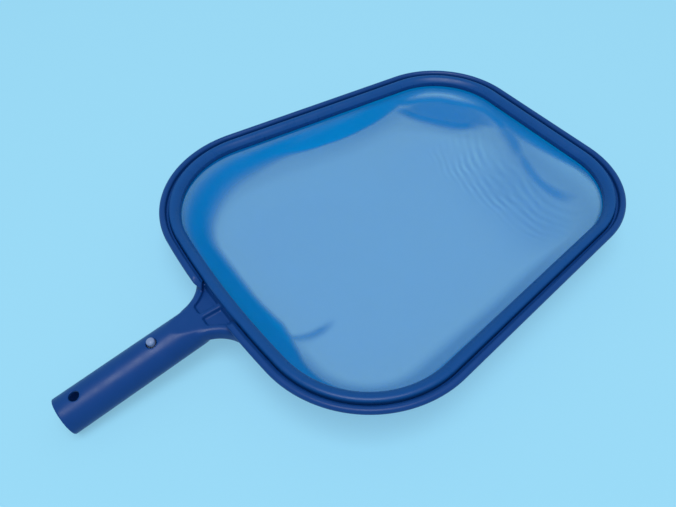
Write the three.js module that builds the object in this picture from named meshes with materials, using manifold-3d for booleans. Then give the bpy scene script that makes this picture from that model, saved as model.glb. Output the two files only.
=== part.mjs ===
// Leaf skimmer net: a moulded frame (rim, neck and tube handle), the ring that locks the
// net into the rim, the slack net bag with its hem cord, and the V-shaped spring clip whose
// two snap buttons stand out of the handle.
// Millimetres. The pieces are drawn with the rim's top plane at z = 0 and its near edge at
// x = 0, X running from the handle to the far edge, and moved at the end so that the origin
// is under the middle of the whole net, on the surface that it lies on.
import * as THREE from "three";
import { mergeVertices } from "three/addons/utils/BufferGeometryUtils.js";
import Module from "manifold-3d";

const wasm = await Module();
wasm.setup();

const GAP = 0.3; // clearance between pieces that touch
const rad = THREE.MathUtils.degToRad;

// Rim outline, seen from above: a faint near arc, two near corners, tapering sides,
// two far corners and a straight far edge.
const NEAR_RADIUS = 772;
const NEAR_ANGLE = 5.2;
const NEAR_CORNER_RADIUS = 89.3;
const SIDE_TAPER = 7.2;
const FAR_CORNER_RADIUS = 77.1;
const FAR_HALF_WIDTH = 52.2;

// Rim section: distance in from the outer edge, and height under the rim's top plane.
const BEAD_RADIUS = 2.6;
const RIM_WIDTH = 16.4;
const RIM_DEPTH = 11;
const GROOVE_DEPTH = 4.4;
const CHANNEL_START = 7.3;
const CHANNEL_FLOOR = 8.7;

// Retaining ring, hem cord and net.
const RING_START = CHANNEL_START + GAP;
const RING_LEG_END = 8.9;
const HEM_POCKET_END = 11.7;
const HEM_POCKET_TOP = 5;
const HEM_CORD_RADIUS = 1.1;
const HEM_CORD_IN = 10.3;
const NET_START = 11.8;
const NET_FLANGE = 0.6;
const NET_THICKNESS = 1;
const BAG_START = 18;
const BAG_DROP = 12; // the net's depth under the rim's top where its wall starts
const BAG_INSET = 44; // the bag's rows follow the rim this far in, then close on its middle
const BAG_CENTRE_X = 176;

// How the slack net hangs, by direction from the bag's middle: degrees, the distance in and
// the height of the foot of its wall, and how far past the foot it lies flat.
const WALL_FOOT = [
  [0, 34, 12, 50],
  [14, 22, 29, 45],
  [36, 24, 29, 22],
  [51, 26, 26, 40],
  [66, 30, 23, 70],
  [102, 28, 24, 70],
  [112, 23, 29, 45],
  [135, 32, 16, 45],
  [180, 38, 12, 40],
  [225, 36, 12, 40],
  [270, 32, 14, 45],
  [345, 36, 10, 45],
  [360, 34, 12, 50],
];

// Handle tube. Distances along it are measured from its open end.
const TUBE_RADIUS = 14.25;
const BORE_RADIUS = 11.9;
const TUBE_TILT = 9;
const TUBE_LENGTH = 138;
const TUBE_AXIS_X = 20; // where the tube's axis would end, inside the head
const TUBE_AXIS_Z = -13.03;
const TUBE_SOLID_LENGTH = 104;
const BORE_LENGTH = 87;
const BORE_END = 106;
const BORE_END_RADIUS = 5.5;
const HOLE_RADIUS = 3.7;
const SPARE_HOLE = 14.4;
const BUTTON_HOLE = 73.35;

// Neck: a plate that fans out from the tube to the rim, with two pockets and a centre rib.
const NECK_TOP = -9.5;
const NECK_BEVEL = 4;
const NECK_HEIGHT = 12.5;
const NECK_ARC_X = -21;
const NECK_ARC_Y = 41.6;
const NECK_ARC_RADIUS = 32;
const NECK_ARC_START = 8;
const NECK_ARC_END = 82;
const NECK_RIB = 2;
const CENTRE_RIB = 3.2;
const POCKET_START_X = -8;
const POCKET_FLOOR = -12.5;
const RAMP_START_X = -32;
const RAMP_START_Z = -6.84;
const RAMP_END_X = -9;
const VALLEY_FLAT = 15;
const VALLEY_TOP = 27;

// Spring clip and snap buttons. Heights are measured from the tube's axis.
const CLIP_WIDTH = 8;
const CLIP_THICKNESS = 1;
const CLIP_BEND_RADIUS = 3;
const CLIP_SPREAD = 25.2;
const ARM_ROOT = 88;
const ARM_HEIGHT = 9.6;
const ARM_TIP = 66;
const BUTTON_RADIUS = 3;
const BUTTON_SHOULDER = 15.7;
const BUTTON_TOP = 17.45;
const BUTTON_AT = BUTTON_HOLE + GAP; // a pressed button swings towards the tube's open end

// ---- Rim outline -------------------------------------------------------------------

// One turn to the right along an arc, as evenly spaced stations { x, y, heading }.
function arcStations(start, radius, sweep, steps) {
  const centreX = start.x + radius * Math.sin(start.heading);
  const centreY = start.y - radius * Math.cos(start.heading);
  const stations = [];
  for (let i = 1; i <= steps; i += 1) {
    const heading = start.heading - (sweep * i) / steps;
    stations.push({
      x: centreX - radius * Math.sin(heading),
      y: centreY + radius * Math.cos(heading),
      heading,
    });
  }
  return stations;
}

// A straight stretch, as evenly spaced stations.
function lineStations(start, length, steps) {
  const stations = [];
  for (let i = 1; i <= steps; i += 1) {
    stations.push({
      x: start.x + (Math.cos(start.heading) * length * i) / steps,
      y: start.y + (Math.sin(start.heading) * length * i) / steps,
      heading: start.heading,
    });
  }
  return stations;
}

// Stations round the whole rim. The side's length is what makes the outline close.
function rimStations() {
  const half = [{ x: 0, y: 0, heading: rad(90) }];
  const last = () => half[half.length - 1];
  half.push(...arcStations(last(), NEAR_RADIUS, rad(NEAR_ANGLE), 2));
  half.push(...arcStations(last(), NEAR_CORNER_RADIUS, rad(90 - NEAR_ANGLE + SIDE_TAPER), 12));
  const farCornerDrop = FAR_CORNER_RADIUS * Math.cos(rad(SIDE_TAPER));
  const sideLength = (last().y - farCornerDrop - FAR_HALF_WIDTH) / Math.sin(rad(SIDE_TAPER));
  half.push(...lineStations(last(), sideLength, 3));
  half.push(...arcStations(last(), FAR_CORNER_RADIUS, rad(90 - SIDE_TAPER), 10));
  half.push(...lineStations(last(), FAR_HALF_WIDTH, 1));
  const mirrored = half.slice(1, -1).reverse();
  return half.concat(mirrored.map((s) => ({ x: s.x, y: -s.y, heading: -s.heading - Math.PI })));
}

const STATIONS = rimStations();
const FAR_EDGE_X = Math.max(...STATIONS.map((s) => s.x));

// The point that lies a distance in from the outline at a station.
function inset(station, distance) {
  return new THREE.Vector2(
    station.x + distance * Math.sin(station.heading),
    station.y - distance * Math.cos(station.heading),
  );
}

// ---- Helpers -----------------------------------------------------------------------

// Shared vertices merged, triangles without area dropped, faces turned outwards.
function cleaned(geometry) {
  geometry.deleteAttribute("normal");
  geometry.deleteAttribute("uv");
  const merged = mergeVertices(geometry, 1e-4);
  const corner = new THREE.Vector3();
  const next = new THREE.Vector3();
  const after = new THREE.Vector3();
  const kept = [];
  let volume = 0;
  for (let i = 0; i < merged.index.count; i += 3) {
    const [a, b, c] = [0, 1, 2].map((k) => merged.index.getX(i + k));
    if (a !== b && b !== c && c !== a) {
      kept.push(a, b, c);
      corner.fromBufferAttribute(merged.attributes.position, a);
      next.fromBufferAttribute(merged.attributes.position, b);
      after.fromBufferAttribute(merged.attributes.position, c);
      volume += corner.dot(next.cross(after));
    }
  }
  merged.setIndex(volume < 0 ? kept.reverse() : kept);
  return merged;
}

function solid(geometry) {
  const closed = cleaned(geometry);
  return new wasm.Manifold(
    new wasm.Mesh({
      numProp: 3,
      vertProperties: new Float32Array(closed.attributes.position.array),
      triVerts: new Uint32Array(closed.index.array),
    }),
  );
}

function surface(manifold) {
  const { vertProperties, triVerts } = manifold.getMesh();
  const geometry = new THREE.BufferGeometry();
  geometry.setAttribute("position", new THREE.BufferAttribute(new Float32Array(vertProperties), 3));
  geometry.setIndex(Array.from(triVerts));
  return geometry;
}

function mesh(name, geometry, material) {
  const piece = new THREE.Mesh(geometry, material);
  geometry.computeVertexNormals();
  piece.name = name;
  return piece;
}

// A point of a section, (distance in, height), at a station.
function onRim(station, distance, height) {
  const point = inset(station, distance);
  return new THREE.Vector3(point.x, point.y, height);
}

// A closed section carried round the rim: a lathe ring whose turns are laid on the rim's
// stations.
function aroundRim(section, place = onRim) {
  const ring = new THREE.LatheGeometry(section, STATIONS.length);
  const position = ring.attributes.position;
  for (let i = 0; i < position.count; i += 1) {
    const turn = Math.floor(i / section.length) % STATIONS.length;
    const { x: distance, y: height } = section[i % section.length];
    const point = place(STATIONS[turn], distance, height);
    position.setXYZ(i, point.x, point.y, point.z);
  }
  return cleaned(ring);
}

// The handle's own space: local Z runs up the tube from its open end, local Y is across,
// and local -X points to the upper side.
const tubeMatrix = new THREE.Matrix4()
  .makeTranslation(
    TUBE_AXIS_X - TUBE_LENGTH * Math.cos(rad(TUBE_TILT)),
    0,
    TUBE_AXIS_Z - TUBE_LENGTH * Math.sin(rad(TUBE_TILT)),
  )
  .multiply(new THREE.Matrix4().makeRotationY(rad(90 - TUBE_TILT)));

// A shape drawn as (distance along the tube, height over its axis), width across.
function clipPlate(shape) {
  const plate = new THREE.ExtrudeGeometry(shape, {
    depth: CLIP_WIDTH,
    bevelEnabled: false,
    curveSegments: 6,
  });
  const axes = new THREE.Matrix4().makeBasis(
    new THREE.Vector3(0, 0, 1),
    new THREE.Vector3(-1, 0, 0),
    new THREE.Vector3(0, -1, 0),
  );
  plate.applyMatrix4(axes);
  plate.translate(0, CLIP_WIDTH / 2, 0);
  return plate;
}

// Moves geometry from the tube's space; the lower copy is turned half round the axis.
function onTube(geometry, lower = false) {
  geometry.rotateZ(lower ? Math.PI : 0);
  geometry.applyMatrix4(tubeMatrix);
  return geometry;
}

// A flat outline extruded between two heights.
function slab(shape, bottom, top) {
  const geometry = new THREE.ExtrudeGeometry(shape, {
    depth: top - bottom,
    bevelEnabled: false,
    curveSegments: 8,
  });
  geometry.translate(0, 0, bottom);
  return geometry;
}

function polygon(points) {
  return new THREE.Shape(points.map(([x, y]) => new THREE.Vector2(x, y)));
}

// ---- Frame -------------------------------------------------------------------------

// Outer bead, groove, the wall beside the channel, and the channel's floor.
function rimSection() {
  const path = new THREE.Path();
  path.moveTo(2 * BEAD_RADIUS, -BEAD_RADIUS);
  path.absarc(BEAD_RADIUS, -BEAD_RADIUS, BEAD_RADIUS, 0, rad(235), false);
  path.lineTo(4.2, 0.8 - RIM_DEPTH);
  path.lineTo(5, -RIM_DEPTH);
  path.lineTo(RIM_WIDTH - 0.8, -RIM_DEPTH);
  path.lineTo(RIM_WIDTH, 0.8 - RIM_DEPTH);
  path.lineTo(RIM_WIDTH, -0.3 - CHANNEL_FLOOR);
  path.lineTo(RIM_WIDTH - 0.3, -CHANNEL_FLOOR);
  path.lineTo(CHANNEL_START, -CHANNEL_FLOOR);
  path.lineTo(CHANNEL_START, -GROOVE_DEPTH);
  path.lineTo(2 * BEAD_RADIUS, -GROOVE_DEPTH);
  path.closePath();
  return path.getPoints(4);
}

function tubeBody() {
  const tube = new THREE.CylinderGeometry(TUBE_RADIUS, TUBE_RADIUS, TUBE_SOLID_LENGTH, 40);
  tube.rotateX(Math.PI / 2);
  tube.translate(0, 0, TUBE_SOLID_LENGTH / 2);
  const nose = new THREE.SphereGeometry(TUBE_RADIUS, 40, 16);
  nose.rotateX(Math.PI / 2);
  nose.translate(0, 0, TUBE_SOLID_LENGTH);
  return solid(onTube(tube)).add(solid(onTube(nose)));
}

// The bore, its chamfered mouth, and the narrow end that holds the clip's bend.
function boreBody() {
  const profile = [
    [0, -1],
    [BORE_RADIUS + 1.8, -1],
    [BORE_RADIUS, 0.8],
    [BORE_RADIUS, BORE_LENGTH],
    [BORE_END_RADIUS, BORE_END],
    [0, BORE_END],
  ];
  const bore = new THREE.LatheGeometry(profile.map(([r, s]) => new THREE.Vector2(r, s)), 40);
  bore.rotateX(Math.PI / 2);
  return solid(onTube(bore));
}

// A button hole through both walls of the tube.
function holeBody(distance) {
  const hole = new THREE.CylinderGeometry(HOLE_RADIUS, HOLE_RADIUS, 3 * TUBE_RADIUS, 20);
  hole.rotateZ(Math.PI / 2);
  hole.translate(0, 0, distance);
  return solid(onTube(hole));
}

function neckBody() {
  const end = (side) => [NECK_ARC_X, side * NECK_ARC_Y, NECK_ARC_RADIUS];
  const plan = new THREE.Shape();
  plan.absarc(...end(1), rad(-NECK_ARC_START), rad(-NECK_ARC_END), true);
  plan.absarc(...end(-1), rad(NECK_ARC_END), rad(NECK_ARC_START), true);
  plan.closePath();
  const plate = new THREE.ExtrudeGeometry(plan, {
    depth: NECK_HEIGHT - 2 * NECK_BEVEL,
    bevelThickness: NECK_BEVEL,
    bevelSize: NECK_BEVEL,
    bevelSegments: 3,
    curveSegments: 8,
  });
  plate.translate(0, 0, NECK_TOP - NECK_HEIGHT + NECK_BEVEL);
  return solid(plate);
}

// A pocket between the centre rib, the ring's side and the flared edge.
function pocketBody(side) {
  const outer = NECK_ARC_RADIUS + NECK_RIB;
  const arcAngle = (x) => -Math.acos((x - NECK_ARC_X) / outer);
  const pocket = new THREE.Shape();
  pocket.moveTo(POCKET_START_X, CENTRE_RIB / 2);
  pocket.lineTo(RING_START, CENTRE_RIB / 2);
  pocket.absarc(NECK_ARC_X, NECK_ARC_Y, outer, arcAngle(RING_START), arcAngle(POCKET_START_X), true);
  pocket.closePath();
  const geometry = slab(pocket, POCKET_FLOOR, 1);
  geometry.scale(1, side, 1);
  return solid(geometry);
}

// What is cut away over the neck: the tube's top slopes down to the plate, and the rim's
// bead and groove sink to it from both sides.
function neckClearance() {
  const ramp = polygon([
    [RAMP_START_X, RAMP_START_Z],
    [RAMP_END_X, NECK_TOP],
    [2, NECK_TOP],
    [2, 5],
    [RAMP_START_X, 5],
  ]);
  const over = new THREE.ExtrudeGeometry(ramp, { depth: 2 * TUBE_RADIUS + 2, bevelEnabled: false });
  over.rotateX(Math.PI / 2);
  over.translate(0, TUBE_RADIUS + 1, 0);
  const valley = polygon([
    [-VALLEY_FLAT, NECK_TOP],
    [VALLEY_FLAT, NECK_TOP],
    [VALLEY_TOP, 0.5],
    [-VALLEY_TOP, 0.5],
  ]);
  const depth = RING_START - RAMP_END_X;
  const along = new THREE.ExtrudeGeometry(valley, { depth, bevelEnabled: false });
  along.rotateX(Math.PI / 2);
  along.rotateZ(Math.PI / 2);
  along.translate(RAMP_END_X, 0, 0);
  return solid(over).add(solid(along));
}

function frame() {
  let body = solid(aroundRim(rimSection())).add(neckBody()).add(tubeBody());
  body = body.subtract(neckClearance());
  body = body.subtract(pocketBody(1)).subtract(pocketBody(-1));
  body = body.subtract(boreBody());
  body = body.subtract(holeBody(SPARE_HOLE)).subtract(holeBody(BUTTON_HOLE));
  const plastic = new THREE.MeshStandardMaterial({ color: 0x24489a, roughness: 0.42 });
  return mesh("frame", surface(body), plastic);
}

// ---- Ring, net and hem cord --------------------------------------------------------

function retainingRing() {
  const section = [
    [RING_START, 0.7 - CHANNEL_FLOOR],
    [RING_LEG_END, 0.7 - CHANNEL_FLOOR],
    [RING_LEG_END, -HEM_POCKET_TOP],
    [HEM_POCKET_END, -HEM_POCKET_TOP],
    [HEM_POCKET_END, -7.5],
    [RIM_WIDTH, -7.5],
    [RIM_WIDTH, -3.8],
    [14.6, -1.9],
    [12.6, -0.5],
    [10.4, 0],
    [8.5, -0.5],
    [RING_START, -1.8],
    [RING_START, 0.7 - CHANNEL_FLOOR],
  ];
  const plastic = new THREE.MeshStandardMaterial({ color: 0x2a4fa2, roughness: 0.38 });
  return mesh("retaining_ring", aroundRim(section.map(([w, z]) => new THREE.Vector2(w, z))), plastic);
}

function hemCord() {
  const section = new THREE.Path();
  const height = -CHANNEL_FLOOR + 0.4 + HEM_CORD_RADIUS;
  section.absarc(HEM_CORD_IN, height, HEM_CORD_RADIUS, 0, 2 * Math.PI, false);
  const cord = new THREE.MeshStandardMaterial({ color: 0x1a6fb0, roughness: 0.8 });
  return mesh("hem_cord", aroundRim(section.getPoints(4)), cord);
}

// Lowest point of the handle's end, which the bag's bottom is level with.
function restHeight() {
  const tilt = rad(TUBE_TILT);
  return TUBE_AXIS_Z - TUBE_LENGTH * Math.sin(tilt) - TUBE_RADIUS * Math.cos(tilt);
}

// Where the wall's foot is at a station: its distance in, its height over the surface that
// the net lies on, and how far past it the net lies flat.
function wallFoot(station) {
  const degrees = THREE.MathUtils.radToDeg(Math.atan2(station.y, station.x - BAG_CENTRE_X));
  const direction = THREE.MathUtils.euclideanModulo(degrees, 360);
  const next = WALL_FOOT.findIndex(([end]) => end > direction);
  const [from, to] = [WALL_FOOT[next - 1], WALL_FOOT[next]];
  const share = (direction - from[0]) / (to[0] - from[0]);
  return [1, 2, 3].map((k) => THREE.MathUtils.lerp(from[k], to[k], share));
}

// A point of the bag. Its place runs from 0 at the top of the wall to 1 at the wall's foot,
// 2 where the rows stop following the rim and 3 at the bag's middle.
function bagPoint(station, place, drop) {
  const [footIn, footHeight, settled] = wallFoot(station);
  const floor = restHeight() + NET_THICKNESS;
  if (place <= 1) {
    const distance = THREE.MathUtils.lerp(BAG_START, footIn, place);
    const height = THREE.MathUtils.lerp(-BAG_DROP, floor + footHeight, place);
    return onRim(station, distance, height - drop);
  }
  const last = inset(station, BAG_INSET);
  const point = inset(station, THREE.MathUtils.lerp(footIn, BAG_INSET, Math.min(place - 1, 1)));
  point.lerp(new THREE.Vector2(BAG_CENTRE_X, 0), Math.max(place - 2, 0));
  const past = BAG_INSET - footIn + point.distanceTo(last) * Math.sign(place - 2);
  const height = floor + footHeight * Math.max(0, 1 - past / settled) ** 2;
  return new THREE.Vector3(point.x, point.y, height - drop);
}

// A closed thin bag: a flange clamped between the ring and the channel's floor, a drop
// past the rim's inner edge, and a wall that runs down to the slack bottom.
function net() {
  const top = GAP - CHANNEL_FLOOR + NET_FLANGE;
  const places = [0, 0.5, 1, 1.35, 1.7, 2, 2.15, 2.35, 2.6, 3];
  const edge = [[BAG_START - 0.4, top], [NET_START, top], [NET_START, top - NET_FLANGE]];
  edge.push([RIM_WIDTH + 0.4, top - NET_FLANGE], [BAG_START - 1, -BAG_DROP - 0.6]);
  const section = [
    ...places.map((place) => [-place, 0]).reverse(),
    ...edge,
    ...places.map((place) => [-place, NET_THICKNESS]),
  ];
  // A distance below or at zero is a place in the bag with its sign turned.
  const laid = (station, distance, height) =>
    distance <= 0 ? bagPoint(station, -distance, height) : onRim(station, distance, height);
  const bag = aroundRim(section.map(([w, z]) => new THREE.Vector2(w, z)), laid);
  const weave = new THREE.MeshStandardMaterial({ color: 0x4f9ad2, roughness: 0.75 });
  return mesh("net", bag, weave);
}

// ---- Spring clip -------------------------------------------------------------------

const steel = () => new THREE.MeshStandardMaterial({ color: 0xb9bec6, roughness: 0.3, metalness: 0.9 });

// The bend and the fixed roots of both arms, one constant thickness of strip.
function clipBend() {
  const spread = rad(CLIP_SPREAD);
  const run = (ARM_HEIGHT - CLIP_BEND_RADIUS * Math.cos(spread)) / Math.sin(spread);
  const centre = ARM_ROOT + run * Math.cos(spread) - CLIP_BEND_RADIUS * Math.sin(spread);
  const half = CLIP_THICKNESS / 2;
  const tip = (offset, side) => [
    ARM_ROOT + offset * Math.sin(spread),
    side * (ARM_HEIGHT + offset * Math.cos(spread)),
  ];
  const turn = Math.PI / 2 - spread;
  const strip = new THREE.Shape();
  strip.moveTo(...tip(half, 1));
  strip.absarc(centre, 0, CLIP_BEND_RADIUS + half, turn, -turn, true);
  strip.lineTo(...tip(half, -1));
  strip.lineTo(...tip(-half, -1));
  strip.absarc(centre, 0, CLIP_BEND_RADIUS - half, -turn, turn, false);
  strip.lineTo(...tip(-half, 1));
  strip.closePath();
  return mesh("clip_bend", cleaned(onTube(clipPlate(strip))), steel());
}

// A sprung arm: flat along the bore's wall, with its free tip turned in.
function clipArm(name, lower) {
  const half = CLIP_THICKNESS / 2;
  const strip = polygon([
    [ARM_ROOT - GAP, ARM_HEIGHT + half],
    [ARM_TIP + 3, ARM_HEIGHT + half],
    [ARM_TIP, ARM_HEIGHT - 1.2 + half],
    [ARM_TIP, ARM_HEIGHT - 1.2 - half],
    [ARM_TIP + 3, ARM_HEIGHT - half],
    [ARM_ROOT - GAP, ARM_HEIGHT - half],
  ]);
  return mesh(name, cleaned(onTube(clipPlate(strip), lower)), steel());
}

// A snap button: a round post with a domed head, standing on its arm.
function snapButton(name, lower) {
  const base = ARM_HEIGHT + CLIP_THICKNESS / 2 + GAP;
  const profile = [new THREE.Vector2(0, base), new THREE.Vector2(BUTTON_RADIUS, base)];
  for (let i = 0; i <= 4; i += 1) {
    const angle = (i / 4) * (Math.PI / 2);
    const height = BUTTON_SHOULDER + (BUTTON_TOP - BUTTON_SHOULDER) * Math.sin(angle);
    profile.push(new THREE.Vector2(i < 4 ? BUTTON_RADIUS * Math.cos(angle) : 0, height));
  }
  const button = new THREE.LatheGeometry(profile, 24);
  button.rotateZ(Math.PI / 2);
  button.translate(0, 0, BUTTON_AT);
  const white = new THREE.MeshStandardMaterial({ color: 0xc4cfe0, roughness: 0.35 });
  return mesh(name, cleaned(onTube(button, lower)), white);
}

// ---- Assembly ----------------------------------------------------------------------

const handleEndX = tubeMatrix.elements[12] - TUBE_RADIUS * Math.sin(rad(TUBE_TILT));

const group = new THREE.Group();
group.position.set(-(handleEndX + FAR_EDGE_X) / 2, 0, -restHeight());
group.add(
  frame(),
  retainingRing(),
  hemCord(),
  net(),
  clipBend(),
  clipArm("clip_arm_upper", false),
  snapButton("button_upper", false),
  clipArm("clip_arm_lower", true),
  snapButton("button_lower", true),
);

export default group;
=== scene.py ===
import math

import bmesh
import bpy
import numpy as np
from mathutils import Matrix, Vector


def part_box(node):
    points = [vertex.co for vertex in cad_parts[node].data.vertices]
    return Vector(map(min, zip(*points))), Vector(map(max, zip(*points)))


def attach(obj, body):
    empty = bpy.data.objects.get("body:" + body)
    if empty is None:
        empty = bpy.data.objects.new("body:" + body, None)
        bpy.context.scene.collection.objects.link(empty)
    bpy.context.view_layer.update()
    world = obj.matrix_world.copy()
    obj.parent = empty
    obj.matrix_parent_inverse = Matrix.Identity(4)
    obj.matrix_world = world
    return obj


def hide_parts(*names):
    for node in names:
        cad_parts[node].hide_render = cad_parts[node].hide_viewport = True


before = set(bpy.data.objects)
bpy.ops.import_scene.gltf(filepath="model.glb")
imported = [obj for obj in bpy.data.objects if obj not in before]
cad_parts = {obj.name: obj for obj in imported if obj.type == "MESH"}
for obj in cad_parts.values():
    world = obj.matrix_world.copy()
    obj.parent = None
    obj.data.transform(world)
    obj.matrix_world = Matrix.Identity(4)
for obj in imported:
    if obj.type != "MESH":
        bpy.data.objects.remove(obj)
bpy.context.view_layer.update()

MM = 0.001

# ---- Driving sizes, the same as the part's --------------------------------------------

GAP = 0.3

# Rim outline, seen from above.
NEAR_RADIUS = 772
NEAR_ANGLE = math.radians(5.2)
NEAR_CORNER_RADIUS = 89.3
SIDE_TAPER = math.radians(7.2)
FAR_CORNER_RADIUS = 77.1
FAR_HALF_WIDTH = 52.2

# Rim section: distance in from the outer edge, and height under the rim's top.
BEAD_RADIUS = 2.6
RIM_WIDTH = 16.4
RIM_DEPTH = 11
GROOVE_DEPTH = 4.4
CHANNEL_START = 7.3
CHANNEL_FLOOR = 8.7
RING_START = CHANNEL_START + GAP
HEM_CORD_RADIUS = 1.1
HEM_CORD_IN = 10.3
NET_TOP = -8.1  # the net's clamped edge lies between the ring and the channel's floor

# Handle tube.
TUBE_RADIUS = 14.25
BORE_RADIUS = 11.9
TUBE_TILT = math.radians(9)
TUBE_LENGTH = 138
TUBE_AXIS_X = 20
TUBE_AXIS_Z = -13.03
TUBE_SOLID_LENGTH = 104
BORE_LENGTH = 87
BORE_END = 106
BORE_END_RADIUS = 5.5
HOLE_RADIUS = 3.7
SPARE_HOLE = 14.4
BUTTON_HOLE = 73.35

# Neck.
NECK_TOP = -9.5
NECK_BEVEL = 4
NECK_HEIGHT = 12.5
NECK_ARC_X = -21
NECK_ARC_Y = 41.6
NECK_ARC_RADIUS = 32
NECK_ARC_START = math.radians(8)
NECK_ARC_END = math.radians(82)
NECK_RIB = 2
CENTRE_RIB = 3.2
POCKET_START_X = -8
POCKET_FLOOR = -12.5
RAMP_START_X = -32
RAMP_START_Z = -6.84
RAMP_END_X = -9
VALLEY_FLAT = 15
VALLEY_TOP = 27

# Spring clip and buttons, with heights from the tube's axis.
CLIP_WIDTH = 8
CLIP_THICKNESS = 1
CLIP_BEND_RADIUS = 3
CLIP_SPREAD = math.radians(25.2)
ARM_ROOT = 88
ARM_HEIGHT = 9.6
ARM_TIP = 66
BUTTON_RADIUS = 3
BUTTON_SHOULDER = 15.7
BUTTON_TOP = 17.45
BUTTON_AT = BUTTON_HOLE + GAP

# Net: the bag's wall starts inside the rim, runs down to its foot, and past it lies flat.
BAG_START = 18
BAG_DROP = 12
BAG_INSET = 44
BAG_MIDDLE = np.array([176.0, 0.0])
NET_FLOOR = -48.19  # the middle of the cloth where it lies on the surface under the net


# ---- Rim outline ----------------------------------------------------------------------


def rim_stations(step):
    """Points round the rim's outer edge about step apart: rows of x, y and heading."""
    half = [(0.0, 0.0, math.pi / 2)]

    def arc(radius, sweep):
        x, y, heading = half[-1]
        centre_x = x + radius * math.sin(heading)
        centre_y = y - radius * math.cos(heading)
        count = max(2, round(radius * sweep / step))
        for i in range(1, count + 1):
            turned = heading - sweep * i / count
            x = centre_x - radius * math.sin(turned)
            y = centre_y + radius * math.cos(turned)
            half.append((x, y, turned))

    def line(length):
        x, y, heading = half[-1]
        count = max(2, round(length / step))
        for i in range(1, count + 1):
            along = length * i / count
            half.append((x + along * math.cos(heading), y + along * math.sin(heading), heading))

    arc(NEAR_RADIUS, NEAR_ANGLE)
    arc(NEAR_CORNER_RADIUS, math.pi / 2 - NEAR_ANGLE + SIDE_TAPER)
    far_corner_drop = FAR_CORNER_RADIUS * math.cos(SIDE_TAPER)
    line((half[-1][1] - far_corner_drop - FAR_HALF_WIDTH) / math.sin(SIDE_TAPER))
    arc(FAR_CORNER_RADIUS, math.pi / 2 - SIDE_TAPER)
    line(FAR_HALF_WIDTH)
    mirrored = [(x, -y, -heading - math.pi) for x, y, heading in half[-2:0:-1]]
    return np.array(half + mirrored)


def inset(stations, distance):
    """The points that lie that distance in from the outer edge."""
    x = stations[:, 0] + distance * np.sin(stations[:, 2])
    y = stations[:, 1] - distance * np.cos(stations[:, 2])
    return np.stack([x, y], axis=1)


FAR_EDGE = float(rim_stations(5)[:, 0].max())
ORIGIN = Vector((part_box("frame")[1].x - FAR_EDGE * MM, 0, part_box("retaining_ring")[1].z))


# ---- Mesh helpers ---------------------------------------------------------------------


def placed(points):
    """Points of the drawing's frame, in metres in the row frame."""
    return np.asarray(points, float) * MM + np.array(ORIGIN)


def mesh_object(name, points, faces, smooth=True):
    """A new object whose points are given in the drawing's frame."""
    data = bpy.data.meshes.new(name)
    data.from_pydata([tuple(p) for p in placed(points)], [], [tuple(f) for f in faces])
    data.validate()
    faced = bmesh.new()
    faced.from_mesh(data)
    bmesh.ops.recalc_face_normals(faced, faces=faced.faces)
    faced.to_mesh(data)
    faced.free()
    data.polygons.foreach_set("use_smooth", [smooth] * len(data.polygons))
    made = bpy.data.objects.new(name, data)
    bpy.context.scene.collection.objects.link(made)
    return made


def grid_faces(rows, columns, wrap_rows, wrap_columns):
    """Quads of a grid whose points are stored row by row."""
    last_row = rows if wrap_rows else rows - 1
    last_column = columns if wrap_columns else columns - 1
    faces = []
    for i in range(last_row):
        for j in range(last_column):
            right = (j + 1) % columns
            here, below = i * columns, (i + 1) % rows * columns
            faces.append((here + j, here + right, below + right, below + j))
    return faces


def around_rim(name, section, stations):
    """A closed section of (distance in, height) carried round the rim."""
    rows = [np.column_stack([inset(stations, d), np.full(len(stations), z)]) for d, z in section]
    points = np.concatenate(rows)
    return mesh_object(name, points, grid_faces(len(section), len(stations), True, True))


def rounded(corners, steps=5):
    """A closed outline of (x, y, radius) corners, each one turned into a curve."""
    outline = []
    count = len(corners)
    for i in range(count):
        here = np.array(corners[i][:2], float)
        before = np.array(corners[i - 1][:2], float) - here
        after = np.array(corners[(i + 1) % count][:2], float) - here
        reach = min(corners[i][2], 0.48 * np.linalg.norm(before), 0.48 * np.linalg.norm(after))
        start = here + before / np.linalg.norm(before) * reach
        end = here + after / np.linalg.norm(after) * reach
        for k in range(steps + 1):
            t = k / steps
            outline.append((1 - t) ** 2 * start + 2 * t * (1 - t) * here + t * t * end)
    return np.array(outline)


def arc_points(centre, radius, start, end, steps):
    """Points along an arc, both ends included."""
    angles = np.linspace(start, end, steps + 1)
    return np.stack([centre[0] + radius * np.cos(angles), centre[1] + radius * np.sin(angles)], axis=1)


def lofted(name, rings):
    """A closed solid through rings of points, with a flat cap at each end."""
    count = len(rings[0])
    faces = grid_faces(len(rings), count, False, True)
    faces.append(tuple(range(count)))
    faces.append(tuple(range((len(rings) - 1) * count, len(rings) * count)))
    return mesh_object(name, np.concatenate(rings), faces)


def level(outline, height):
    """A flat outline as points at that height."""
    return np.column_stack([outline, np.full(len(outline), height)])


def on_tube(points):
    """Points of the tube's space (along, across, height over the axis), in the drawing's frame."""
    along, across, height = np.asarray(points, float).T
    cos, sin = math.cos(TUBE_TILT), math.sin(TUBE_TILT)
    x = TUBE_AXIS_X + (along - TUBE_LENGTH) * cos - height * sin
    z = TUBE_AXIS_Z + (along - TUBE_LENGTH) * sin + height * cos
    return np.stack([x, across, z], axis=1)


def turned_on_tube(name, profile, steps=96):
    """A body turned round the tube's axis from (along, radius) points."""
    angles = np.linspace(0, 2 * math.pi, steps, endpoint=False)
    rings = []
    for along, radius in profile:
        across, height = radius * np.sin(angles), radius * np.cos(angles)
        rings.append(on_tube(np.column_stack([np.full(steps, along), across, height])))
    return lofted(name, rings)


def applied(target):
    """Makes the object's modifiers part of its mesh."""
    depsgraph = bpy.context.evaluated_depsgraph_get()
    final = bpy.data.meshes.new_from_object(target.evaluated_get(depsgraph))
    target.modifiers.clear()
    target.data = final


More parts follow.
